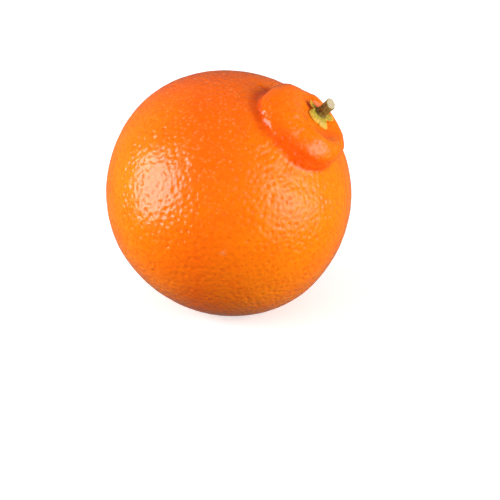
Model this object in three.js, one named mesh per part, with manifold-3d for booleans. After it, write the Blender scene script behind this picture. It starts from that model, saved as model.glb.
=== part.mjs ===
// A tangelo of the necked kind: a round citrus fruit with a lobed neck, a dried
// five-lobed calyx and a short cut stem, lying on the flat spot it rests on.
// Units are millimetres, +Z is up, and the origin is the middle of the resting spot.
import * as THREE from 'three';
import { mergeVertices } from 'three/addons/utils/BufferGeometryUtils.js';
import Module from 'manifold-3d';

// ---------------------------------------------------------------- driving dimensions
const FRUIT_RADIUS = 40.0;        // across the equator: 80 mm
const CENTRE_HEIGHT = 39.15;      // of the fruit's centre above the surface it rests on
const BLOSSOM_FLATTEN = 0.985;    // the half away from the stem is slightly squat
const SKIN_DETAIL = 15;           // icosahedron edges are cut into SKIN_DETAIL + 1
const GAP = 0.3;                  // clearance between neighbouring pieces

// stem axis: its direction in the row frame, and the direction of azimuth 0 about it
const STEM_AXIS = new THREE.Vector3(0.61820046, -0.23492785, 0.75009139);
const AZIMUTH_0 = new THREE.Vector3(-0.38629, -0.92193, 0.02961);

// calyx
const CALYX_CENTRE = [-3.9, 1.2];
const CALYX_NOTCH = 2.9;                       // radius between the lobes
const CALYX_LOBES = [[355, 5.6, 50], [42, 6.0, 36], [118, 4.6, 26], [192, 3.4, 26], [285, 5.6, 15]]; // azimuth, reach, half-width
const CALYX_THICK_MIDDLE = 0.75, CALYX_THICK_EDGE = 0.45;

// stem
const STEM_CENTRE = [-3.9, 1.2];
const STEM_RADIUS = 1.68, STEM_FOOT_RADIUS = 2.4;
const STEM_END_HEIGHT = 47.7;                  // along the axis, from the fruit's centre
const STEM_CUT = [0.186, 0.183, 0.965];        // normal of the cut end

// ---------------------------------------------------------------- shape of the skin
// Rings from the stem end to the blossom end. Each is [t, centre x, centre y,
// radius at 12 azimuths, height at 12 azimuths], t being degrees on the unit sphere.
const same = (v) => Array(12).fill(v);
const RINGS = [
  [5.0, -2.3, 1.4, same(3.0), same(42.0)],
  [10.5, -2.2, 1.4, [6.2, 7.2, 7.2, 6.8, 5.8, 4.9, 4.6, 4.9, 5.4, 7.2, 7.8, 6.8], [42.4, 42.1, 42.0, 42.2, 42.6, 42.7, 42.6, 42.4, 42.3, 42.9, 42.8, 42.5]],
  [16.0, -2.0, 1.3, [9.5, 10.8, 10.9, 10.2, 8.4, 6.8, 6.2, 7.1, 8.0, 10.8, 11.6, 10.2], [43.1, 43.4, 43.2, 42.9, 43.0, 43.1, 43.3, 43.5, 43.0, 43.6, 43.4, 43.1]],
  [21.0, -1.6, 1.1, [12.4, 13.7, 13.9, 12.9, 10.6, 9.2, 8.7, 9.7, 10.8, 13.4, 14.9, 13.8], [41.9, 42.2, 41.7, 41.6, 41.9, 42.1, 42.4, 42.6, 42.2, 42.7, 42.4, 42.0]],
  [26.5, -0.8, 0.6, [14.6, 15.6, 15.5, 14.1, 12.4, 11.6, 11.4, 11.9, 12.7, 14.9, 16.0, 15.6], [39.9, 39.8, 39.2, 39.2, 39.7, 39.8, 39.9, 40.0, 39.9, 40.4, 40.3, 39.9]],
  [32.0, -0.2, 0.2, [15.9, 16.4, 15.7, 14.0, 13.2, 12.9, 12.9, 13.1, 13.4, 14.8, 16.3, 16.2], [37.6, 37.2, 37.0, 37.3, 37.6, 37.6, 37.6, 37.6, 37.7, 38.1, 38.1, 37.9]],
  [37.0, 0, 0, [17.5, 17.8, 16.4, 14.6, 14.2, 14.2, 14.3, 14.3, 14.5, 15.2, 16.7, 17.0], [35.0, 34.7, 35.3, 36.1, 36.2, 36.2, 36.2, 36.2, 36.1, 35.7, 35.4, 35.2]],
  [42.5, 0, 0, [21.4, 21.3, 20.4, 19.4, 19.2, 19.2, 19.2, 19.3, 19.5, 20.0, 20.9, 21.3], [32.7, 32.6, 33.6, 34.5, 34.6, 34.6, 34.6, 34.6, 34.5, 33.6, 33.1, 32.9]],
];
for (const [polar, t] of [[42, 54.5], [56, 67], [72, 81], [90, 97], [108, 113.5], [126, 130], [144, 146.5], [160, 161.5]]) {
  const a = THREE.MathUtils.degToRad(polar);
  RINGS.push([t, 0, 0, same(FRUIT_RADIUS * Math.sin(a)), same(FRUIT_RADIUS * Math.cos(a) * (polar < 90 ? 1 : BLOSSOM_FLATTEN))]);
}
const TOP = [-2.3, 1.4, 41.9];
const BOTTOM = [0, 0, -FRUIT_RADIUS * 0.975];

// Low swellings and hollows that no fruit is without:
// [t, azimuth, half-width along t, half-width along azimuth, height], degrees and mm
const SWELLINGS = [
  [89, 275, 9.5, 12, 1.0], [68, 261, 7, 8, 0.3], [141, 18, 9, 14, -0.55], [102.7, 76, 8, 8, 0.45],
  [75, 150, 12, 10, 0.45], [110, 190, 12, 14, -0.4], [60, 215, 9, 9, 0.35], [125, 240, 10, 12, 0.3], [95, 130, 9, 9, -0.3],
  [18.0, 334, 1.05, 1.05, 0.5], [24.5, 322, 1.6, 2.6, 0.25], [27, 352, 2.4, 2.0, 0.3],
  [41, 348, 2.4, 0.8, 0.20], [40.3, 357, 2.2, 0.6, -0.22], [42, 7, 2.0, 0.7, 0.16], [40, 17, 1.8, 0.6, -0.16], [37.2, 26, 0.8, 4.5, -0.30], [37.2, 318, 0.8, 5.0, -0.30],
  [40, 120, 3, 1.0, -0.35], [41, 135, 3, 1.1, 0.3], [40, 200, 3, 1.0, -0.35], [41, 217, 3, 1.0, 0.3], [40, 260, 2.8, 0.9, -0.3],
];

// value of a closed curve through 12 evenly spaced samples
function around(values, azimuth) {
  const n = values.length, x = (((azimuth / (2 * Math.PI)) * n) % n + n) % n, i = Math.floor(x), f = x - i;
  const [p0, p1, p2, p3] = [values[(i + n - 1) % n], values[i % n], values[(i + 1) % n], values[(i + 2) % n]];
  return 0.5 * (2 * p1 + (p2 - p0) * f + (2 * p0 - 5 * p1 + 4 * p2 - p3) * f * f + (3 * p1 - p0 - 3 * p2 + p3) * f ** 3);
}

// point of the skin for a point of the unit sphere given by t (degrees) and azimuth (radians)
const STEPS = [0, ...RINGS.map((r) => r[0]), 180];
function skin(t, azimuth) {
  const c = Math.cos(azimuth), s = Math.sin(azimuth), last = STEPS.length - 1;
  const knot = (k) => {
    if (k === 0) return TOP;
    if (k === last) return BOTTOM;
    const [, cx, cy, radii, heights] = RINGS[k - 1], r = around(radii, azimuth);
    return [cx + r * c, cy + r * s, around(heights, azimuth)];
  };
  const slope = (k) => {
    if (k === 0) { const r = around(RINGS[0][3], azimuth) / STEPS[1]; return [r * c, r * s, 0]; }
    if (k === last) { const r = (-around(RINGS.at(-1)[3], azimuth) / (180 - STEPS[last - 1])) * 1.03; return [r * c, r * s, 0]; }
    const a = STEPS[k] - STEPS[k - 1], b = STEPS[k + 1] - STEPS[k], [p, q, r] = [knot(k - 1), knot(k), knot(k + 1)];
    return q.map((v, i) => (((r[i] - v) / b) * a + ((v - p[i]) / a) * b) / (a + b));
  };
  let k = 0;
  while (k < last - 1 && t >= STEPS[k + 1]) k++;
  const d = STEPS[k + 1] - STEPS[k], f = (t - STEPS[k]) / d, [p, q, m, n] = [knot(k), knot(k + 1), slope(k), slope(k + 1)];
  const [h0, h1, h2, h3] = [2 * f ** 3 - 3 * f ** 2 + 1, (f ** 3 - 2 * f ** 2 + f) * d, -2 * f ** 3 + 3 * f ** 2, (f ** 3 - f ** 2) * d];
  return p.map((v, i) => h0 * v + h1 * m[i] + h2 * q[i] + h3 * n[i]);
}

function swelling(u) {
  let sum = 0;
  for (const [t, azimuth, along, across, height] of SWELLINGS) {
    const a = THREE.MathUtils.degToRad(t), b = THREE.MathUtils.degToRad(azimuth);
    const middle = new THREE.Vector3(Math.sin(a) * Math.cos(b), Math.sin(a) * Math.sin(b), Math.cos(a));
    if (middle.dot(u) <= 0) continue;
    const x = u.dot(new THREE.Vector3(Math.cos(a) * Math.cos(b), Math.cos(a) * Math.sin(b), -Math.sin(a))) * FRUIT_RADIUS / along;
    const y = u.dot(new THREE.Vector3(-Math.sin(b), Math.cos(b), 0)) * FRUIT_RADIUS / across;
    sum += height * Math.exp(-0.5 * (x * x + y * y));
  }
  return sum;
}

// turns the fruit's own frame, stem axis along +Z, into the row frame
const xAxis = AZIMUTH_0.clone().addScaledVector(STEM_AXIS, -AZIMUTH_0.dot(STEM_AXIS)).normalize();
const yAxis = new THREE.Vector3().crossVectors(STEM_AXIS, xAxis).normalize();
const lean = new THREE.Matrix4().makeBasis(xAxis, yAxis, STEM_AXIS.clone().normalize());
const place = new THREE.Matrix4().makeTranslation(0, 0, CENTRE_HEIGHT).multiply(lean);

const onlyPosition = (g) => { g.deleteAttribute('normal'); g.deleteAttribute('uv'); return mergeVertices(g, 1e-4); };

// ---------------------------------------------------------------- fruit
function makeSkin() {
  const g = onlyPosition(new THREE.IcosahedronGeometry(1, SKIN_DETAIL));
  const p = g.attributes.position, u = [];
  for (let i = 0; i < p.count; i++) {
    u.push(new THREE.Vector3().fromBufferAttribute(p, i).normalize());
    p.setXYZ(i, ...skin(THREE.MathUtils.radToDeg(Math.acos(u[i].z)), Math.atan2(u[i].y, u[i].x)));
  }
  g.computeVertexNormals();
  const n = g.attributes.normal;
  for (let i = 0; i < p.count; i++) {
    const h = swelling(u[i]);
    p.setXYZ(i, p.getX(i) + n.getX(i) * h, p.getY(i) + n.getY(i) * h, p.getZ(i) + n.getZ(i) * h);
  }
  g.deleteAttribute('normal');
  return g.applyMatrix4(place);
}

// the resting spot is the cut of the skin by the surface the fruit lies on
const wasm = await Module();
wasm.setup();
const solid = (g) => new wasm.Manifold(new wasm.Mesh({
  numProp: 3, vertProperties: new Float32Array(g.attributes.position.array), triVerts: new Uint32Array(g.index.array),
}));
function geometryOf(manifold) {
  const mesh = manifold.getMesh(), g = new THREE.BufferGeometry(), v = new Float32Array(mesh.numVert * 3);
  for (let i = 0; i < mesh.numVert; i++) for (let k = 0; k < 3; k++) v[3 * i + k] = mesh.vertProperties[mesh.numProp * i + k];
  g.setAttribute('position', new THREE.BufferAttribute(v, 3));
  g.setIndex(new THREE.BufferAttribute(new Uint32Array(mesh.triVerts), 1));
  g.computeVertexNormals();
  return g;
}
const below = onlyPosition(new THREE.BoxGeometry(100, 100, 30).translate(0, 0, -15));
const fruitGeometry = geometryOf(solid(makeSkin()).subtract(solid(below)));

// ---------------------------------------------------------------- closed surfaces between two stacks of rings
// rows of points around an axis, the first and last closed by a middle point
function closedStack(rows, first, last) {
  const v = [], idx = [], n = rows[0].length;
  v.push(...first);
  rows.forEach((row) => row.forEach((p) => v.push(...p)));
  v.push(...last);
  const at = (r, i) => 1 + r * n + (i % n), end = 1 + rows.length * n;
  for (let i = 0; i < n; i++) {
    idx.push(0, at(0, i + 1), at(0, i));
    for (let r = 0; r < rows.length - 1; r++) idx.push(at(r, i), at(r, i + 1), at(r + 1, i + 1), at(r, i), at(r + 1, i + 1), at(r + 1, i));
    idx.push(end, at(rows.length - 1, i), at(rows.length - 1, i + 1));
  }
  const g = new THREE.BufferGeometry();
  g.setAttribute('position', new THREE.Float32BufferAttribute(v, 3));
  g.setIndex(idx);
  g.computeVertexNormals();
  return g;
}

// height of the neck's top under a point, in the fruit's own frame
function neckTop(x, y) {
  let t = 4, azimuth = Math.atan2(y - TOP[1], x - TOP[0]);
  for (let i = 0; i < 25; i++) {
    const p = skin(t, azimuth), [cx, cy] = [TOP[0], TOP[1]];
    const want = Math.hypot(x - cx, y - cy), have = Math.max(Math.hypot(p[0] - cx, p[1] - cy), 1e-6);
    azimuth += Math.atan2(y - cy, x - cx) - Math.atan2(p[1] - cy, p[0] - cx);
    t = Math.max(Math.min((t * want) / have, 20), 1e-4);
  }
  return skin(t, azimuth)[2];
}

// ---------------------------------------------------------------- calyx: five joined lobes
const calyxOutline = (azimuth) => Math.max(...CALYX_LOBES.map(([tip, reach, half]) => {
  const d = Math.abs(((((THREE.MathUtils.radToDeg(azimuth) - tip + 180) % 360) + 360) % 360) - 180) / half;
  return CALYX_NOTCH + (reach - CALYX_NOTCH) * Math.max(1 - d ** 2.1, 0) ** 0.75;
}));
const calyxThick = (f) => THREE.MathUtils.lerp(CALYX_THICK_MIDDLE, CALYX_THICK_EDGE, f);
const calyxTop = (x, y) => {
  const dx = x - CALYX_CENTRE[0], dy = y - CALYX_CENTRE[1];
  const f = Math.min(Math.hypot(dx, dy) / calyxOutline(Math.atan2(dy, dx)), 1);
  return neckTop(x, y) + GAP + calyxThick(f);
};
function makeCalyx() {
  const n = 60, under = [], over = [];
  for (const f of [0.34, 0.67, 1]) {
    const low = [], high = [];
    for (let i = 0; i < n; i++) {
      const a = (2 * Math.PI * i) / n, r = calyxOutline(a) * f;
      const x = CALYX_CENTRE[0] + r * Math.cos(a), y = CALYX_CENTRE[1] + r * Math.sin(a), z = neckTop(x, y) + GAP;
      low.push([x, y, z]);
      high.push([x, y, z + calyxThick(f)]);
    }
    under.push(low);
    over.unshift(high);
  }
  const z = neckTop(...CALYX_CENTRE) + GAP;
  return closedStack([...under, ...over], [...CALYX_CENTRE, z], [...CALYX_CENTRE, z + CALYX_THICK_MIDDLE]);
}

// ---------------------------------------------------------------- stem: a ribbed stub, widening to its foot, cut a little askew
function makeStem() {
  const n = 20, rows = [], cut = new THREE.Vector3(...STEM_CUT).normalize();
  const endHeight = (x, y) => STEM_END_HEIGHT - ((x - STEM_CENTRE[0]) * cut.x + (y - STEM_CENTRE[1]) * cut.y) / cut.z;
  for (const [f, r] of [[0, STEM_FOOT_RADIUS], [0.1, STEM_FOOT_RADIUS * 0.93], [0.25, STEM_RADIUS * 1.13], [0.45, STEM_RADIUS], [0.75, STEM_RADIUS * 0.98], [1, STEM_RADIUS * 1.02]]) {
    rows.push(Array.from({ length: n }, (_, i) => {
      const a = (2 * Math.PI * i) / n, rr = r * (1 + 0.05 * Math.cos(5 * a) * (f < 1 ? 1 : 0.6));
      const x = STEM_CENTRE[0] + rr * Math.cos(a), y = STEM_CENTRE[1] + rr * Math.sin(a), z0 = calyxTop(x, y) + GAP;
      return [x, y, THREE.MathUtils.lerp(z0, endHeight(x, y), f)];
    }));
  }
  return closedStack(rows, [...STEM_CENTRE, calyxTop(...STEM_CENTRE) + GAP], [...STEM_CENTRE, STEM_END_HEIGHT]);
}

// ---------------------------------------------------------------- the object
const tangelo = new THREE.Group();

const fruit = new THREE.Mesh(fruitGeometry, new THREE.MeshStandardMaterial({ color: 0xf7780f, roughness: 0.35, metalness: 0 }));
fruit.name = 'fruit';
tangelo.add(fruit);

const stemEnd = new THREE.Group();
stemEnd.position.set(0, 0, CENTRE_HEIGHT);
stemEnd.quaternion.setFromRotationMatrix(lean);
tangelo.add(stemEnd);

const calyx = new THREE.Mesh(makeCalyx(), new THREE.MeshStandardMaterial({ color: 0xc0a833, roughness: 0.8, metalness: 0 }));
calyx.name = 'calyx';
stemEnd.add(calyx);

const stem = new THREE.Mesh(makeStem(), new THREE.MeshStandardMaterial({ color: 0x7c6230, roughness: 0.85, metalness: 0 }));
stem.name = 'stem';
stemEnd.add(stem);

export default tangelo;
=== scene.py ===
"""Looks of the tangelo: a pitted, glossy rind with a lobed neck, a dried five-lobed calyx and a cut stem stub.
Shapes are worked out in millimetres in the fruit's own frame, stem axis along +Z, and turned into the row frame."""
import math

import bpy
import numpy as np
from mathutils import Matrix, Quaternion, Vector
from mathutils.kdtree import KDTree


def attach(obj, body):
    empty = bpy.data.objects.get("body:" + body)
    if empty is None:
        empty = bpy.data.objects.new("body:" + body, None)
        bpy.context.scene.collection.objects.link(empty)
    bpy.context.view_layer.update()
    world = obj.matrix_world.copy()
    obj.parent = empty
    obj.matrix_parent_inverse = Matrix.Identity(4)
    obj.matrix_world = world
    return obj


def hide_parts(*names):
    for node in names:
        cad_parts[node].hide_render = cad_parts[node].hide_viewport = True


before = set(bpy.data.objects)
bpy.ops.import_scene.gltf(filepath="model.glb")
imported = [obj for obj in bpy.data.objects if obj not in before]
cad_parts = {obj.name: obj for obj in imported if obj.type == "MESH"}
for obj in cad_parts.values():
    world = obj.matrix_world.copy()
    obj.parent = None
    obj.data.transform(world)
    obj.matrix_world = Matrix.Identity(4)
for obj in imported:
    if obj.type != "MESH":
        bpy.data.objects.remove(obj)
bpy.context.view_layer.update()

# ------------------------------------------------------------------ the fruit's own frame
R = 40.0                                    # mm, radius across the equator
CENTRE = np.array([0.0, 0.0, 39.15])        # mm, of the fruit, above the surface it rests on
STEM_AXIS = np.array([0.61820046, -0.23492785, 0.75009139])
AZIMUTH_0 = np.array([-0.38629452, -0.92189935, 0.0296332])


def unit(v):
    v = np.asarray(v, float)
    return v / np.linalg.norm(v)


def unit_rows(v):
    return v / np.linalg.norm(v, axis=1, keepdims=True)


AXIS = unit(STEM_AXIS)
XF = unit(AZIMUTH_0 - AZIMUTH_0.dot(AXIS) * AXIS)
YF = np.cross(AXIS, XF)
TURN = np.stack([XF, YF, AXIS], 1)


def to_row(points):
    """millimetres in the fruit's frame to metres in the row frame"""
    return (np.asarray(points) @ TURN.T + CENTRE) / 1000.0


# ------------------------------------------------------------------ shape of the skin
def same(v):
    return [v] * 12


RINGS = [  # t (degrees on the unit sphere), centre x, centre y, radius and height at 12 azimuths
    (5.0, -2.3, 1.4, same(3.0), same(42.0)),
    (10.5, -2.2, 1.4, [6.2, 7.2, 7.2, 6.8, 5.8, 4.9, 4.6, 4.9, 5.4, 7.2, 7.8, 6.8], [42.4, 42.1, 42.0, 42.2, 42.6, 42.7, 42.6, 42.4, 42.3, 42.9, 42.8, 42.5]),
    (16.0, -2.0, 1.3, [9.5, 10.8, 10.9, 10.2, 8.4, 6.8, 6.2, 7.1, 8.0, 10.8, 11.6, 10.2], [43.1, 43.4, 43.2, 42.9, 43.0, 43.1, 43.3, 43.5, 43.0, 43.6, 43.4, 43.1]),
    (21.0, -1.6, 1.1, [12.4, 13.7, 13.9, 12.9, 10.6, 9.2, 8.7, 9.7, 10.8, 13.4, 14.9, 13.8], [41.9, 42.2, 41.7, 41.6, 41.9, 42.1, 42.4, 42.6, 42.2, 42.7, 42.4, 42.0]),
    (26.5, -0.8, 0.6, [14.6, 15.6, 15.5, 14.1, 12.4, 11.6, 11.4, 11.9, 12.7, 14.9, 16.0, 15.6], [39.9, 39.8, 39.2, 39.2, 39.7, 39.8, 39.9, 40.0, 39.9, 40.4, 40.3, 39.9]),
    (32.0, -0.2, 0.2, [15.9, 16.4, 15.7, 14.0, 13.2, 12.9, 12.9, 13.1, 13.4, 14.8, 16.3, 16.2], [37.6, 37.2, 37.0, 37.3, 37.6, 37.6, 37.6, 37.6, 37.7, 38.1, 38.1, 37.9]),
    (37.0, 0.0, 0.0, [17.5, 17.8, 16.4, 14.6, 14.2, 14.2, 14.3, 14.3, 14.5, 15.2, 16.7, 17.0], [35.0, 34.7, 35.3, 36.1, 36.2, 36.2, 36.2, 36.2, 36.1, 35.7, 35.4, 35.2]),
    (42.5, 0.0, 0.0, [21.4, 21.3, 20.4, 19.4, 19.2, 19.2, 19.2, 19.3, 19.5, 20.0, 20.9, 21.3], [32.7, 32.6, 33.6, 34.5, 34.6, 34.6, 34.6, 34.6, 34.5, 33.6, 33.1, 32.9]),
]
for polar, tt in ((42, 54.5), (56, 67), (72, 81), (90, 97), (108, 113.5), (126, 130), (144, 146.5), (160, 161.5)):
    a = math.radians(polar)
    RINGS.append((float(tt), 0.0, 0.0, same(R * math.sin(a)), same(R * math.cos(a) * (1.0 if polar < 90 else 0.985))))
TOP = (-2.3, 1.4, 41.9)
BOTTOM = (0.0, 0.0, -R * 0.975)

# low swellings and hollows: t, azimuth, half-width along t, half-width along azimuth, height
SWELLINGS = [
    (89, 275, 9.5, 12, 1.0), (68, 261, 7, 8, 0.3), (141, 18, 9, 14, -0.55), (102.7, 76, 8, 8, 0.45),
    (75, 150, 12, 10, 0.45), (110, 190, 12, 14, -0.4), (60, 215, 9, 9, 0.35), (125, 240, 10, 12, 0.3), (95, 130, 9, 9, -0.3),
    (18.0, 334, 1.05, 1.05, 0.5), (24.5, 322, 1.6, 2.6, 0.25), (27, 352, 2.4, 2.0, 0.3),
    (41, 348, 2.4, 0.8, 0.20), (40.3, 357, 2.2, 0.6, -0.22), (42, 7, 2.0, 0.7, 0.16), (40, 17, 1.8, 0.6, -0.16), (37.2, 26, 0.8, 4.5, -0.30), (37.2, 318, 0.8, 5.0, -0.30),
    (40, 120, 3, 1.0, -0.35), (41, 135, 3, 1.1, 0.3), (40, 200, 3, 1.0, -0.35), (41, 217, 3, 1.0, 0.3), (40, 260, 2.8, 0.9, -0.3),
]


def around(values, azimuth):
    """a closed curve through 12 evenly spaced samples"""
    v = np.asarray(values, float)
    n = len(v)
    x = (azimuth / (2 * math.pi) * n) % n
    i = np.floor(x).astype(int) % n
    f = x - np.floor(x)
    p0, p1, p2, p3 = v[(i - 1) % n], v[i], v[(i + 1) % n], v[(i + 2) % n]
    return 0.5 * (2 * p1 + (p2 - p0) * f + (2 * p0 - 5 * p1 + 4 * p2 - p3) * f * f + (3 * p1 - p0 - 3 * p2 + p3) * f ** 3)


def skin(t, azimuth):
    """points of the smooth skin: t in degrees and azimuth in radians, both on the unit sphere"""
    t = np.atleast_1d(t).astype(float)
    azimuth = np.atleast_1d(azimuth).astype(float) % (2 * math.pi)
    c, s = np.cos(azimuth), np.sin(azimuth)
    steps = [0.0] + [r[0] for r in RINGS] + [180.0]
    knots = [np.tile(np.array(TOP), (len(t), 1))]
    for (_, cx, cy, radii, heights) in RINGS:
        r = around(radii, azimuth)
        knots.append(np.stack([cx + r * c, cy + r * s, around(heights, azimuth)], 1))
    knots.append(np.tile(np.array(BOTTOM), (len(t), 1)))
    n = len(steps)
    slopes = [None] * n
    for k in range(1, n - 1):
        a, b = steps[k] - steps[k - 1], steps[k + 1] - steps[k]
        slopes[k] = ((knots[k + 1] - knots[k]) / b * a + (knots[k] - knots[k - 1]) / a * b) / (a + b)
    zero = np.zeros(len(t))
    r = around(RINGS[0][3], azimuth)
    slopes[0] = np.stack([r * c, r * s, zero], 1) / steps[1]
    r = around(RINGS[-1][3], azimuth)
    slopes[-1] = -np.stack([r * c, r * s, zero], 1) / (180.0 - steps[-2]) * 1.03
    out = np.zeros((len(t), 3))
    which = np.clip(np.searchsorted(np.array(steps), t, side="right") - 1, 0, n - 2)
    for k in range(n - 1):
        m = which == k
        if m.any():
            d = steps[k + 1] - steps[k]
            f = ((t[m] - steps[k]) / d)[:, None]
            out[m] = ((2 * f ** 3 - 3 * f ** 2 + 1) * knots[k][m] + (f ** 3 - 2 * f ** 2 + f) * d * slopes[k][m]
                      + (-2 * f ** 3 + 3 * f ** 2) * knots[k + 1][m] + (f ** 3 - f ** 2) * d * slopes[k + 1][m])
    return out


def swelling(u, features):
    total = np.zeros(len(u))
    for (t0, a0, along, across, height) in features:
        a, b = math.radians(t0), math.radians(a0)
        middle = np.array([math.sin(a) * math.cos(b), math.sin(a) * math.sin(b), math.cos(a)])
        x = u @ np.array([math.cos(a) * math.cos(b), math.cos(a) * math.sin(b), -math.sin(a)]) * R / along
        y = u @ np.array([-math.sin(b), math.cos(b), 0.0]) * R / across
        total += height * np.exp(-0.5 * (x * x + y * y)) * (u @ middle > 0)
    return total


def geodesic(n):
    """icosahedron faces cut n ways, evenly: unit vectors and triangles"""
    g = (1 + 5 ** 0.5) / 2
    V = np.array([(-1, g, 0), (1, g, 0), (-1, -g, 0), (1, -g, 0), (0, -1, g), (0, 1, g), (0, -1, -g), (0, 1, -g), (g, 0, -1), (g, 0, 1), (-g, 0, -1), (-g, 0, 1)], float)
    V /= np.linalg.norm(V[0])
    F = [(0, 11, 5), (0, 5, 1), (0, 1, 7), (0, 7, 10), (0, 10, 11), (1, 5, 9), (5, 11, 4), (11, 10, 2), (10, 7, 6), (7, 1, 8),
         (3, 9, 4), (3, 4, 2), (3, 2, 6), (3, 6, 8), (3, 8, 9), (4, 9, 5), (2, 4, 11), (6, 2, 10), (8, 6, 7), (9, 8, 1)]
    index, points, faces = {}, [], []
    ang = math.acos(V[0] @ V[5])
    sines = [math.sin(k * ang / n) for k in range(n + 1)]
    for fi, (a, b, c) in enumerate(F):
        A, B, C = V[a], V[b], V[c]
        ids = {}
        for i in range(n + 1):
            for j in range(n + 1 - i):
                k = n - i - j
                used = tuple(sorted((v, x) for v, x in ((a, k), (b, i), (c, j)) if x))
                key = used if len(used) < 3 else (fi, i, j)
                if key not in index:
                    index[key] = len(points)
                    points.append(sines[k] * A + sines[i] * B + sines[j] * C)
                ids[i, j] = index[key]
        for i in range(n):
            for j in range(n - i):
                faces.append((ids[i, j], ids[i + 1, j], ids[i, j + 1]))
                if i + j < n - 1:
                    faces.append((ids[i + 1, j], ids[i + 1, j + 1], ids[i, j + 1]))
    points = np.array(points)
    return points / np.linalg.norm(points, axis=1, keepdims=True), np.array(faces)


def vertex_normals(P, F):
    n = np.zeros_like(P)
    fn = np.cross(P[F[:, 1]] - P[F[:, 0]], P[F[:, 2]] - P[F[:, 0]])
    for k in range(3):
        for c in range(3):
            n[:, c] += np.bincount(F[:, k], fn[:, c], minlength=len(P))
    return n / np.linalg.norm(n, axis=1, keepdims=True)


def edges_of(F):
    e = np.concatenate([F[:, [0, 1]], F[:, [1, 2]], F[:, [2, 0]]])
    return np.unique(np.sort(e, 1), axis=0)


def smoothed(values, E, n, times, weight=0.7):
    """values at vertices after averaging with their neighbours"""
    v = values.astype(float).copy()
    flat = v.ndim == 1
    v = v[:, None] if flat else v
    count = np.bincount(E.ravel(), minlength=n)[:, None]
    for _ in range(times):
        total = np.zeros_like(v)
        for c in range(v.shape[1]):
            total[:, c] = np.bincount(E[:, 0], v[E[:, 1], c], minlength=n) + np.bincount(E[:, 1], v[E[:, 0], c], minlength=n)
        v = v * (1 - weight) + weight * total / count
    return v[:, 0] if flat else v


def noise3(p, seed):
    """smooth gradient noise at points p, about -1 to 1"""
    i = np.floor(p).astype(np.int64)
    f = p - i
    w = f * f * f * (f * (f * 6 - 15) + 10)
    out = np.zeros(len(p))
    for dx in (0, 1):
        for dy in (0, 1):
            for dz in (0, 1):
                h = ((i[:, 0] + dx) * 374761393 + (i[:, 1] + dy) * 668265263 + (i[:, 2] + dz) * 2147483647 + seed * 974711) & 0xFFFFFFFF
                h = ((h ^ (h >> 13)) * 1274126177) & 0xFFFFFFFF
                h = h ^ (h >> 16)
                a = (h & 1023) / 1023.0 * 2 * math.pi
                z = ((h >> 10) & 1023) / 1023.0 * 2 - 1
                r = np.sqrt(1 - z * z)
                g = r * np.cos(a) * (f[:, 0] - dx) + r * np.sin(a) * (f[:, 1] - dy) + z * (f[:, 2] - dz)
                wx = w[:, 0] if dx else 1 - w[:, 0]
                wy = w[:, 1] if dy else 1 - w[:, 1]
                wz = w[:, 2] if dz else 1 - w[:, 2]
                out += g * wx * wy * wz
    return out * 1.6


def step(x, lo, hi):
    f = np.clip((x - lo) / (hi - lo), 0, 1)
    return f * f * (3 - 2 * f)


# ------------------------------------------------------------------ mesh and node helpers
def make_mesh(name, points_m, faces, attributes=None):
    me = bpy.data.meshes.new(name)
    faces = [tuple(int(i) for i in f) for f in faces] if not isinstance(faces, np.ndarray) else faces
    if isinstance(faces, np.ndarray):
        me.vertices.add(len(points_m))
        me.vertices.foreach_set("co", np.asarray(points_m, np.float32).ravel())
        me.loops.add(faces.size)
        me.loops.foreach_set("vertex_index", faces.astype(np.int32).ravel())
        me.polygons.add(len(faces))
        me.polygons.foreach_set("loop_start", np.arange(0, faces.size, faces.shape[1], dtype=np.int32))
        me.update(calc_edges=True)
        me.validate()
    else:
        me.from_pydata([tuple(p) for p in points_m], [], faces)
        me.update()
    me.polygons.foreach_set("use_smooth", [True] * len(me.polygons))
    for key, values in (attributes or {}).items():
        layer = me.attributes.new(key, "FLOAT", "POINT")
        layer.data.foreach_set("value", np.asarray(values, np.float32))
    ob = bpy.data.objects.new(name, me)
    bpy.context.scene.collection.objects.link(ob)
    return ob


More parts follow.
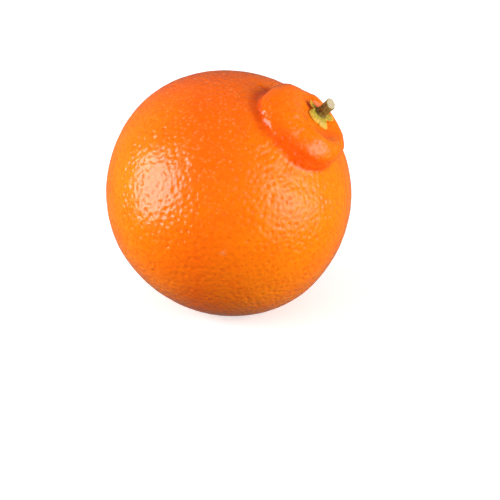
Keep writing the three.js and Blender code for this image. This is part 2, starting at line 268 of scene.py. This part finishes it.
class Nodes:
    """short hand for building a material's nodes"""

    def __init__(self, name):
        self.material = bpy.data.materials.new(name)
        self.material.use_nodes = True
        self.tree = self.material.node_tree
        self.shader = self.tree.nodes["Principled BSDF"]

    def add(self, kind, inputs=None, **settings):
        node = self.tree.nodes.new(kind)
        for key, value in settings.items():
            setattr(node, key, value)
        for key, value in (inputs or {}).items():
            self.put(node.inputs[key], value)
        return node

    def put(self, socket, value):
        if isinstance(value, bpy.types.NodeSocket):
            self.tree.links.new(value, socket)
        elif isinstance(value, bpy.types.Node):
            self.tree.links.new(value.outputs[0], socket)
        else:
            socket.default_value = value

    def attribute(self, name):
        return self.add("ShaderNodeAttribute", attribute_name=name, attribute_type="GEOMETRY").outputs["Fac"]

    def place(self):
        return self.add("ShaderNodeTexCoord").outputs["Object"]

    def noise(self, scale, detail=3.0, rough=0.5, vector=None, distortion=0.0):
        return self.add("ShaderNodeTexNoise", {"Vector": vector or self.place(), "Scale": scale, "Detail": detail, "Roughness": rough, "Distortion": distortion}).outputs["Fac"]

    def cells(self, scale, feature="F1", random=1.0, vector=None):
        return self.add("ShaderNodeTexVoronoi", {"Vector": vector or self.place(), "Scale": scale, "Randomness": random}, feature=feature).outputs["Distance"]

    def range(self, value, a, b, c=0.0, d=1.0, smooth=True):
        return self.add("ShaderNodeMapRange", {"Value": value, "From Min": a, "From Max": b, "To Min": c, "To Max": d},
                        interpolation_type="SMOOTHSTEP" if smooth else "LINEAR").outputs["Result"]

    def math(self, op, a, b=0.0, clamp=False):
        node = self.add("ShaderNodeMath", operation=op, use_clamp=clamp)
        self.put(node.inputs[0], a)
        self.put(node.inputs[1], b)
        return node.outputs[0]

    def mix(self, factor, a, b, blend="MIX"):
        node = self.add("ShaderNodeMix", data_type="RGBA", blend_type=blend)
        self.put(node.inputs[0], factor)
        self.put(node.inputs[6], a if isinstance(a, bpy.types.NodeSocket) else (*a, 1.0))
        self.put(node.inputs[7], b if isinstance(b, bpy.types.NodeSocket) else (*b, 1.0))
        return node.outputs[2]

    def bump(self, height, distance, strength=1.0, normal=None):
        inputs = {"Height": height, "Distance": distance, "Strength": strength}
        if normal is not None:
            inputs["Normal"] = normal
        return self.add("ShaderNodeBump", inputs).outputs["Normal"]


# ------------------------------------------------------------------ rind
GRID = 98                      # 96 042 vertices, 192 080 triangles
u, F = geodesic(GRID)
t_all = np.degrees(np.arccos(np.clip(u[:, 2], -1, 1)))
a_all = np.arctan2(u[:, 1], u[:, 0])
P = skin(t_all, a_all)
N = vertex_normals(P, F)
if (N * P).sum() < 0:
    F = F[:, ::-1]
    N = -N
P = P + N * swelling(u, SWELLINGS)[:, None]
N = vertex_normals(P, F)
E = edges_of(F)
count = len(P)

# how far a vertex lies in a fold: the smoothed skin stands above it there; fold and valley depths set painted shade
near = smoothed(P, E, count, 60)
fold_shade = ((near - P) * N).sum(1)
far = smoothed(near, E, count, 260)
valley_shade = ((far - P) * N).sum(1)
neck = 1 - step(t_all, 30, 40)                # 1 on the neck
blossom = step(t_all, 172.5, 177.0)
# painted shade mostly left off under the neck, where the crease is lit
under_neck = np.exp(-0.5 * (((np.degrees(a_all) - 28 + 180) % 360 - 180) / 34.0) ** 2) * step(t_all, 35.5, 38.5)
fold_shade = fold_shade * (1 - 0.9 * under_neck)
valley_shade = valley_shade * (1 - 0.85 * under_neck)
# painted light: the two sides facing the soft boxes painted yellower and brighter, directions in the row frame
right_lit_side = unit_rows(P) @ (TURN.T @ unit([0.95, -0.25, -0.20]))
left_lit_side = unit_rows(P) @ (TURN.T @ unit([-1.0, -0.05, -0.15]))
patchy = 0.14 * noise3(P / 16.0, 41)
lit_sides = np.maximum(step(right_lit_side + patchy, -0.35, 0.85), step(left_lit_side + patchy, 0.05, 0.95)) * (1 - 0.40 * neck)
# painted shade on the neck's lower flank, which faces down away from the lights
d_azimuth = (np.degrees(a_all) - 22 + 180) % 360 - 180
flank_shade = step(t_all, 21, 31) * (1 - step(t_all, 34.2, 37.2)) * (0.15 + 0.85 * np.exp(-0.5 * (d_azimuth / 34.0) ** 2))

# uneven rind: slow waves, then the pebbly relief between the glands
relief = 0.09 * noise3(P / 11.0, 1) + 0.035 * noise3(P / 5.2, 2)
pebble = noise3(P / 1.45 + 0.7 * np.stack([noise3(P / 2.4, 5), noise3(P / 2.4, 6), noise3(P / 2.4, 7)], 1), 3)
relief += 0.021 * pebble * (1 + 1.8 * neck)
turned = (np.degrees(a_all) + 180) % 360 - 180                # the low lobe's crest, and the hollow between it and the calyx
relief += 0.30 * np.exp(-0.5 * ((t_all - 17.5) / 2.2) ** 2 - 0.5 * ((turned - 28) / 26.0) ** 2)
relief -= 0.28 * np.exp(-0.5 * ((t_all - 11.0) / 2.2) ** 2 - 0.5 * ((turned - 48) / 28.0) ** 2)
relief += 0.14 * neck * noise3(P / 3.4, 9)
# fine creases running down the neck's wall
wall = step(t_all, 22, 30) * (1 - step(t_all, 41, 49))
creases = noise3(np.stack([np.cos(a_all) * 6.5, np.sin(a_all) * 6.5, t_all / 16.0], 1), 8)
relief += wall * 0.09 * (0.35 - np.abs(creases)).clip(-0.25, 0.35)

# oil-gland pits: centres at least a spacing apart, picked among the vertices in random order
tree = KDTree(count)
for i, p in enumerate(P):
    tree.insert(p, i)
tree.balance()


def scatter(spacing, seed, taken=None):
    """vertices at least spacing(vertex) apart"""
    rng = np.random.default_rng(seed)
    blocked = np.zeros(count, bool) if taken is None else taken.copy()
    chosen = []
    for v in rng.permutation(count):
        if not blocked[v]:
            chosen.append(v)
            for _, i, _ in tree.find_range(P[v], spacing[v]):
                blocked[i] = True
    return np.array(chosen), rng


SCAR = TURN.T @ unit([-0.045, -0.998, -0.023]) * R          # a small healed rub
spacing = 1.85 + 0.4 * noise3(P / 9.0, 11) + 0.5 * neck
big, rng = scatter(spacing, 3)
pit = np.zeros(count)
gland = np.zeros(count)
gland_glint = np.zeros(count)                      # painted glints: how pale a gland's painted glint shows
for v in big:
    width = rng.uniform(0.34, 0.46)
    depth = (0.13 + 0.27 * rng.random() ** 1.3) * (1 - 0.25 * neck[v])
    glint_strength = rng.random() ** (1.5 - 0.9 * neck[v])
    middle = P[v] + (rng.normal(0, 0.12, 3))
    for _, i, _ in tree.find_range(P[v], 1.7):
        d2 = ((P[i] - middle) ** 2).sum()
        k = math.exp(-0.5 * d2 / width ** 2)
        pit[i] += depth * k
        gland[i] = max(gland[i], k)
        gland_glint[i] = max(gland_glint[i], glint_strength * k ** 2.4)
blocked = gland > 0.25
small, rng = scatter(np.full(count, 1.15) + 0.5 * neck, 4, blocked)
for v in small:
    depth = rng.uniform(0.015, 0.06) * (1 - 0.5 * neck[v])
    glint_strength = 0.55 * rng.random()
    for _, i, d in tree.find_range(P[v], 0.9):
        k = math.exp(-0.5 * (d / 0.3) ** 2)
        pit[i] += depth * k
        gland[i] = max(gland[i], 0.45 * k)
        gland_glint[i] = max(gland_glint[i], glint_strength * k)
relief -= pit
# painted glints only on the upper part, and fainter on the painted-lit sides
high = step(to_row(P)[:, 2] * 1000 - CENTRE[2], -12.0, 14.0)
gland_glint = gland_glint * high * (1 - 0.7 * lit_sides)
scar = np.exp(-0.5 * (((P - SCAR) ** 2).sum(1) / 0.42 ** 2) * (1 + 0.9 * noise3(P / 0.9, 51)))
relief += 0.05 * scar * (1 + noise3(P / 0.7, 52))
relief -= 0.35 * np.exp(-0.5 * ((180 - t_all) / 2.2) ** 2)      # small dimple at the blossom end
relief += 0.12 * np.exp(-0.5 * ((180 - t_all - 4.5) / 1.2) ** 2)
P = P + N * relief[:, None]

W = to_row(P)
low = W[:, 2] * 1000
W[:, 2] = 0.5 * (low + np.sqrt(low * low + 0.10 ** 2)) / 1000   # lies on its flat spot
W[:, 2] -= W[:, 2].min()
fruit = make_mesh("rind", W, F, {"fold_shade": fold_shade, "valley_shade": valley_shade, "gland": gland, "lit_sides": lit_sides, "flank_shade": flank_shade, "gland_glint": gland_glint, "scar": scar, "blossom": blossom})
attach(fruit, "root")
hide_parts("fruit")

m = Nodes("rind")
broad = m.noise(38.0, 2.0, 0.5)
patch = m.noise(140.0, 3.0, 0.6)
speck = m.noise(900.0, 2.0, 0.6)
# painted light: the sides facing the soft boxes painted yellower and brighter
colour = m.mix(m.attribute("lit_sides"), (0.95, 0.124, 0.0010), (0.97, 0.212, 0.0015))
colour = m.mix(m.range(broad, 0.35, 0.68, 0.0, 0.5), colour, m.mix(m.attribute("lit_sides"), (0.96, 0.152, 0.0010), (0.98, 0.240, 0.0015)))
colour = m.mix(m.range(patch, 0.45, 0.75, 0.0, 0.30), colour, (0.86, 0.105, 0.002))
colour = m.mix(m.range(speck, 0.48, 0.75, 0.0, 0.42), colour, (0.80, 0.095, 0.003))
dots = m.range(m.cells(700.0), 0.06, 0.30, 0.42, 0.0)
colour = m.mix(dots, colour, (0.66, 0.060, 0.002))
# painted glints: pale dots on the glands where light catches the pit walls
colour = m.mix(m.range(m.attribute("gland_glint"), 0.08, 0.80, 0.0, 0.62, smooth=False), colour, (0.98, 0.38, 0.13))
# gland dots painted darker on the painted-lit sides
dark = m.math("MULTIPLY", m.attribute("gland"), m.math("MULTIPLY", m.attribute("lit_sides"), 0.40))
colour = m.mix(dark, colour, (0.84, 0.095, 0.002))
# painted shade: darker red in the valleys and folds
colour = m.mix(m.range(m.attribute("valley_shade"), 0.05, 1.6, 0.0, 0.65), colour, (0.80, 0.080, 0.001))
colour = m.mix(m.range(m.attribute("fold_shade"), 0.03, 0.35, 0.0, 0.5), colour, (0.74, 0.062, 0.001))
# painted shade: the neck's lower flank darker red
colour = m.mix(m.math("MULTIPLY", m.attribute("flank_shade"), 0.68), colour, (0.82, 0.056, 0.001))
colour = m.mix(m.math("MULTIPLY", m.attribute("scar"), 0.38), colour, (0.80, 0.42, 0.20))
colour = m.mix(m.math("MULTIPLY", m.attribute("blossom"), 0.8), colour, (0.33, 0.17, 0.05))
m.put(m.shader.inputs["Base Color"], colour)
rough = m.range(m.noise(260.0, 3.0, 0.6), 0.3, 0.7, 0.13, 0.20)
m.put(m.shader.inputs["Roughness"], rough)
m.shader.inputs["IOR"].default_value = 1.5
m.shader.inputs["Subsurface Weight"].default_value = 0.12
m.shader.inputs["Subsurface Radius"].default_value = (1.0, 0.28, 0.06)
m.shader.inputs["Subsurface Scale"].default_value = 0.0018
dimple = m.range(m.cells(640.0), 0.0, 0.55, 0.0, 1.0)
grain = m.noise(1500.0, 3.0, 0.55)
normal = m.bump(dimple, 0.00009, 1.0)
normal = m.bump(grain, 0.00004, 1.0, normal)
m.put(m.shader.inputs["Normal"], normal)
fruit.data.materials.append(m.material)


# ------------------------------------------------------------------ neck's top under the calyx
def neck_top(x, y):
    x, y = np.atleast_1d(x).astype(float), np.atleast_1d(y).astype(float)
    t = np.full(len(x), 4.0)
    az = np.arctan2(y - TOP[1], x - TOP[0])
    for _ in range(25):
        p = skin(t, az)
        want = np.hypot(x - TOP[0], y - TOP[1])
        have = np.maximum(np.hypot(p[:, 0] - TOP[0], p[:, 1] - TOP[1]), 1e-6)
        az = az + np.arctan2(y - TOP[1], x - TOP[0]) - np.arctan2(p[:, 1] - TOP[1], p[:, 0] - TOP[0])
        t = np.clip(t * want / have, 1e-4, 20)
    return skin(t, az)[:, 2]


# ------------------------------------------------------------------ calyx
CALYX = np.array([-3.9, 1.2])
LOBES = [  # azimuth of the tip, reach, half-width in degrees, lift of the tip
    (355, 5.6, 50, 0.15), (42, 6.0, 36, 0.05), (118, 4.6, 26, 0.45), (192, 3.4, 26, 0.3), (285, 5.6, 15, 1.0),
]


def calyx_outline(az):
    r = np.full_like(az, 2.9)
    for tip, reach, half, _ in LOBES:
        d = np.abs((np.degrees(az) - tip + 180) % 360 - 180) / half
        r = np.maximum(r, 2.9 + (reach - 2.9) * np.clip(1 - d ** 2.1, 0, 1) ** 0.75)
    return r * (1 + 0.018 * np.sin(az * 7 + 0.7) + 0.012 * np.sin(az * 13 + 2.1))


def calyx_lift(az, f):
    up = np.zeros_like(az)
    for tip, _, half, lift in LOBES:
        d = ((np.degrees(az) - tip + 180) % 360 - 180) / half
        up += lift * np.exp(-0.5 * (d / 0.9) ** 2)
    return up * step(f, 0.5, 1.0)


def calyx_surface(az, f, over):
    """points of the calyx's upper or under face, f from 0 in the middle to 1 at the edge"""
    r = calyx_outline(az) * f
    x, y = CALYX[0] + r * np.cos(az), CALYX[1] + r * np.sin(az)
    z = neck_top(x, y) + 0.10 + calyx_lift(az, f)
    z = z - 0.35 * step(f, 0.75, 1.0) * (calyx_lift(az, f) < 0.3)
    thick = 0.30 + 0.75 * np.exp(-0.5 * (r / 2.4) ** 2)
    vein = 0.07 * np.cos(az * 25 + 2 * np.sin(3 * az)) * step(r, 1.8, 3.0) * (1 - 0.4 * f)
    lobed = 0.14 * (calyx_outline(az) - 4.2).clip(-1, 1.4) * step(r, 2.0, 4.0)
    rough = 0.10 * noise3(np.stack([x * 1.3, y * 1.3, np.zeros_like(x)], 1), 21) + 0.05 * noise3(np.stack([x * 3.1, y * 3.1, np.zeros_like(x)], 1), 22)
    if over:
        z = z + thick + vein + lobed + rough * step(f, 0.2, 0.6)
    return np.stack([x, y, z], 1)


def closed_rows(rows, first, last):
    """points and triangles of a stack of closed rows between two middle points"""
    n = len(rows[0])
    points = np.concatenate([[first], *rows, [last]])
    at = lambda r, i: 1 + r * n + (i % n)
    end = 1 + len(rows) * n
    tris = []
    for i in range(n):
        tris.append((0, at(0, i + 1), at(0, i)))
        for r in range(len(rows) - 1):
            tris.append((at(r, i), at(r, i + 1), at(r + 1, i + 1)))
            tris.append((at(r, i), at(r + 1, i + 1), at(r + 1, i)))
        tris.append((end, at(len(rows) - 1, i), at(len(rows) - 1, i + 1)))
    return points, np.array(tris)


n_az = 200
az = np.arange(n_az) / n_az * 2 * math.pi
fs = np.linspace(0, 1, 27)[1:]
under = [calyx_surface(az, np.full(n_az, f), False) for f in fs]
over = [calyx_surface(az, np.full(n_az, f), True) for f in fs]
rim = (under[-1] + over[-1]) / 2
out = np.stack([np.cos(az), np.sin(az), 0 * az], 1)
rim = rim + out * 0.10
rows = under[:-1] + [under[-1] - out * 0.03, rim, over[-1] - out * 0.03] + over[:-1][::-1]
mid = calyx_surface(np.zeros(1), np.zeros(1), True)[0]
midlow = calyx_surface(np.zeros(1), np.zeros(1), False)[0]
points, tris = closed_rows(rows, midlow, mid)
radial = np.hypot(points[:, 0] - CALYX[0], points[:, 1] - CALYX[1])
edge = radial / calyx_outline(np.arctan2(points[:, 1] - CALYX[1], points[:, 0] - CALYX[0]))
around_it = np.degrees(np.arctan2(points[:, 1] - CALYX[1], points[:, 0] - CALYX[0]))
# painted highlight: a pale patch on one sepal
sheen_patch = np.exp(-0.5 * (((around_it - 30 + 180) % 360 - 180) / 17.0) ** 2) * step(radial, 3.0, 3.9) * (1 - step(edge, 0.88, 1.0))
calyx = make_mesh("calyx_star", to_row(points), tris, {"edge": edge, "radial": radial, "sheen_patch": sheen_patch})
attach(calyx, "root")
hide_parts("calyx")

m = Nodes("calyx")
mottle = m.noise(900.0, 4.0, 0.65)
fine = m.noise(3500.0, 3.0, 0.6)
colour = m.mix(m.range(mottle, 0.35, 0.7), (0.40, 0.30, 0.020), (0.60, 0.42, 0.050))
colour = m.mix(m.range(m.attribute("edge"), 0.72, 1.0, 0.0, 0.75), colour, (0.74, 0.34, 0.020))
# painted highlight on one sepal
colour = m.mix(m.math("MULTIPLY", m.attribute("sheen_patch"), 0.85), colour, (0.66, 0.43, 0.10))
colour = m.mix(m.range(m.attribute("radial"), 1.9, 2.8, 0.8, 0.0), colour, (0.22, 0.16, 0.030))
colour = m.mix(m.range(fine, 0.62, 0.72, 0.0, 0.6), colour, (0.25, 0.12, 0.03))
m.put(m.shader.inputs["Base Color"], colour)
m.put(m.shader.inputs["Roughness"], m.range(mottle, 0.3, 0.7, 0.5, 0.75))
m.shader.inputs["IOR"].default_value = 1.4
normal = m.bump(mottle, 0.00025, 0.8)
normal = m.bump(fine, 0.00008, 0.8, normal)
m.put(m.shader.inputs["Normal"], normal)
calyx.data.materials.append(m.material)

# ------------------------------------------------------------------ stem
STEM = np.array([-3.9, 1.22])
STEM_END = 47.7
CUT = unit([0.186, 0.183, 0.965])


def stem_radius(h, az):
    """h from 0 at the foot to 1 at the cut end"""
    r = 1.68 + 0.85 * np.exp(-(h / 0.16) ** 1.3) + 0.10 * step(h, 0.7, 1.0) - 0.06 * np.sin(h * 7.0)
    ribs = 0.055 * np.cos(az * 7 + 1.2 * np.sin(h * 3)) + 0.035 * np.cos(az * 13 + 2.0 * h)
    return r * (1 + ribs * (1 - 0.5 * step(h, 0.9, 1.0)))


def stem_point(h, az, scale=1.0):
    r = stem_radius(h, az) * scale
    x, y = STEM[0] + r * np.cos(az), STEM[1] + r * np.sin(az)
    foot = neck_top(x, y) + 0.25
    top = STEM_END - ((x - STEM[0]) * CUT[0] + (y - STEM[1]) * CUT[1]) / CUT[2]
    return np.stack([x, y, foot + (top - foot) * h], 1)


n_az = 96
az = np.arange(n_az) / n_az * 2 * math.pi
rows, side = [], []
for h in np.linspace(0, 1, 44):
    p = stem_point(np.full(n_az, h), az)
    q = p - np.array([*STEM, 0])
    bark = 0.10 * noise3(np.stack([np.cos(az) * 3.2, np.sin(az) * 3.2, np.full(n_az, h * 4)], 1), 31) + 0.07 * noise3(np.stack([np.cos(az) * 8, np.sin(az) * 8, np.full(n_az, h * 9)], 1), 32)
    d = np.stack([np.cos(az), np.sin(az), 0 * az], 1)
    rows.append(p + d * (bark * (1 - step(np.full(n_az, h), 0.96, 1.0) * 0.5))[:, None])
    side.append(np.full(n_az, 0.0))
edge_row = rows[-1]
centre_top = np.array([STEM[0], STEM[1], STEM_END])
for s, drop in ((0.965, -0.05), (0.90, -0.02), (0.80, 0.03), (0.62, 0.02), (0.45, -0.02), (0.28, -0.07), (0.12, -0.10)):
    p = centre_top + (edge_row - centre_top) * s
    saw = 0.03 * noise3(np.stack([p[:, 0] * 2.2, p[:, 1] * 7.0, np.zeros(n_az)], 1), 33)
    rows.append(p + CUT * (drop + saw)[:, None])
    side.append(np.full(n_az, 1.0 if s < 0.93 else 0.6))
points, tris = closed_rows(rows, np.array([STEM[0], STEM[1], neck_top(*STEM)[0] + 0.25]), centre_top + CUT * -0.12)
cut = np.concatenate([[0.0], *side, [1.0]])
height = np.clip((points[:, 2] - 42.3) / (STEM_END - 42.3), 0, 1)
axial = np.hypot(points[:, 0] - STEM[0], points[:, 1] - STEM[1]) / 1.55
stem = make_mesh("stem_stub", to_row(points), tris, {"cut": cut, "height": height, "axial": axial})
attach(stem, "root")
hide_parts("stem")

m = Nodes("stem_bark")
blotch = m.noise(700.0, 4.0, 0.7)
grain = m.noise(2600.0, 4.0, 0.65)
bark = m.mix(m.range(blotch, 0.38, 0.62), (0.13, 0.052, 0.009), (0.26, 0.17, 0.030))
bark = m.mix(m.range(grain, 0.5, 0.75, 0.0, 0.7), bark, (0.42, 0.30, 0.09))
bark = m.mix(m.range(m.attribute("height"), 0.78, 1.0, 0.0, 0.5), bark, (0.36, 0.27, 0.07))
bark = m.mix(m.range(m.attribute("height"), 0.22, 0.0, 0.0, 0.55), bark, (0.20, 0.16, 0.030))
wood = m.mix(m.range(m.noise(2200.0, 3.0, 0.6), 0.35, 0.7), (0.52, 0.44, 0.28), (0.42, 0.34, 0.21))
wood = m.mix(m.range(m.attribute("axial"), 0.22, 0.08, 0.0, 0.35), wood, (0.40, 0.33, 0.19))
wood = m.mix(m.range(m.attribute("axial"), 0.82, 0.96, 0.0, 0.7), wood, (0.45, 0.36, 0.16))
m.put(m.shader.inputs["Base Color"], m.mix(m.range(m.attribute("cut"), 0.3, 0.8), bark, wood))
m.put(m.shader.inputs["Roughness"], m.range(blotch, 0.3, 0.7, 0.6, 0.8))
m.shader.inputs["IOR"].default_value = 1.4
normal = m.bump(blotch, 0.00030, 0.9)
normal = m.bump(grain, 0.00010, 0.8, normal)
m.put(m.shader.inputs["Normal"], normal)
stem.data.materials.append(m.material)

# ------------------------------------------------------------------ floor
bpy.ops.mesh.primitive_plane_add(size=8.0, location=(0, 0, 0))
floor = bpy.context.object
floor.name = "floor"
m = Nodes("floor")
m.put(m.shader.inputs["Base Color"], m.mix(m.range(m.noise(3.0, 2.0), 0.3, 0.7), (0.93, 0.93, 0.93), (0.95, 0.95, 0.95)))
m.shader.inputs["Roughness"].default_value = 0.9
m.shader.inputs["Specular IOR Level"].default_value = 0.1
m.shader.inputs["Emission Color"].default_value = (1, 1, 1, 1)
away = m.add("ShaderNodeVectorMath", {0: m.place()}, operation="LENGTH").outputs["Value"]
m.put(m.shader.inputs["Emission Strength"], m.range(away, 0.25, 0.60, 0.36, 1.0))     # evenly pale out to its edge
floor.data.materials.append(m.material)

# ------------------------------------------------------------------ camera: 25 degrees down, 105 mm lens
ELEVATION = math.radians(25.0)
LENS, SENSOR, FRAME_PX = 105.0, 36.0, 500.0
AIM = (228.5, 194.5)                  # where the fruit's centre falls in the frame
FRUIT_PX = 122.9                      # its radius there
focal = FRAME_PX * LENS / SENSOR
distance = 0.040 * math.sqrt(1 + (focal / FRUIT_PX) ** 2)
back = Vector((0, -math.cos(ELEVATION), math.sin(ELEVATION)))
data = bpy.data.cameras.new("camera")
data.lens, data.sensor_width = LENS, SENSOR
data.clip_start, data.clip_end = 0.01, 50
camera = bpy.data.objects.new("camera", data)
bpy.context.scene.collection.objects.link(camera)
centre = Vector(CENTRE / 1000)
camera.location = centre + back * distance
off = Vector(((AIM[0] - 250) / focal, (250 - AIM[1]) / focal, -1)).normalized()
camera.rotation_mode = "QUATERNION"
camera.rotation_quaternion = back.to_track_quat("Z", "Y") @ off.rotation_difference(Vector((0, 0, -1)))
bpy.context.scene.camera = camera

# ------------------------------------------------------------------ lights: two large soft boxes and a pale surround
RIGHT = Vector((1, 0, 0))
UP = Vector((0, math.sin(ELEVATION), math.cos(ELEVATION)))


def softbox(name, direction, far, size, power, turn=0):
    """direction is (right, up, towards the camera), turn is about it in degrees"""
    d = (RIGHT * direction[0] + UP * direction[1] + back * direction[2]).normalized()
    light = bpy.data.lights.new(name, "AREA")
    light.shape, light.size, light.size_y = "RECTANGLE", size[0], size[1]
    light.energy = power
    ob = bpy.data.objects.new(name, light)
    ob.location = centre + d * far
    ob.rotation_mode = "QUATERNION"
    ob.rotation_quaternion = d.to_track_quat("Z", "Y") @ Quaternion((0, 0, 1), math.radians(turn))
    ob.visible_camera = False
    bpy.context.scene.collection.objects.link(ob)
    return ob


softbox("left_box", (-0.93, 0.12, 0.35), 0.55, (0.44, 0.41), 3.3, turn=28)
softbox("right_box", (0.866, 0.02, 0.50), 0.70, (0.80, 0.80), 2.0)
softbox("right_spot", (0.84, 0.05, 0.54), 0.70, (0.36, 0.42), 0.95, turn=20)
for soft in (softbox("left_fill", (-0.96, 0.06, 0.20), 0.55, (0.50, 0.50), 2.0), softbox("right_fill", (0.90, -0.12, 0.42), 0.70, (0.60, 0.60), 6.4)):
    soft.visible_glossy = False
floor.visible_diffuse = floor.visible_glossy = False      # the surround alone lights the fruit from below
world = bpy.data.worlds.new("surround")
bpy.context.scene.world = world
world.use_nodes = True
w = world.node_tree


def wnode(kind, *inputs, **settings):
    node = w.nodes.new(kind)
    for key, value in settings.items():
        setattr(node, key, value)
    for i, value in enumerate(inputs):
        if isinstance(value, bpy.types.NodeSocket):
            w.links.new(value, node.inputs[i])
        elif value is not None:
            node.inputs[i].default_value = value
    return node.outputs[0]


direction = w.nodes.new("ShaderNodeTexCoord").outputs["Generated"]
parts = w.nodes.new("ShaderNodeSeparateXYZ")
w.links.new(direction, parts.inputs[0])
rays = w.nodes.new("ShaderNodeLightPath")
fill = wnode("ShaderNodeMapRange", parts.outputs["Z"], -0.5, 0.5, 0.14, 0.46)
behind = wnode("ShaderNodeMapRange", parts.outputs["Y"], 0.1, 0.85, 0.012, 0.17)
under = wnode("ShaderNodeMapRange", parts.outputs["Z"], -0.1, -0.9, 0.0, 0.06)
mirror = wnode("ShaderNodeMath", behind, under, operation="ADD")
mixer = w.nodes.new("ShaderNodeMix")
mixer.data_type = "FLOAT"
w.links.new(rays.outputs["Is Glossy Ray"], mixer.inputs[0])
w.links.new(fill, mixer.inputs[2])
w.links.new(mirror, mixer.inputs[3])
w.nodes["Background"].inputs[0].default_value = (1, 1, 1, 1)
seen = w.nodes.new("ShaderNodeMix")
seen.data_type = "FLOAT"
seen.inputs[3].default_value = 1.0                         # the surround itself looks plain white
w.links.new(rays.outputs["Is Camera Ray"], seen.inputs[0])
w.links.new(mixer.outputs[0], seen.inputs[2])
w.links.new(seen.outputs[0], w.nodes["Background"].inputs[1])
bpy.context.scene.view_settings.view_transform = "Standard"
bpy.context.scene.view_settings.look = "None"
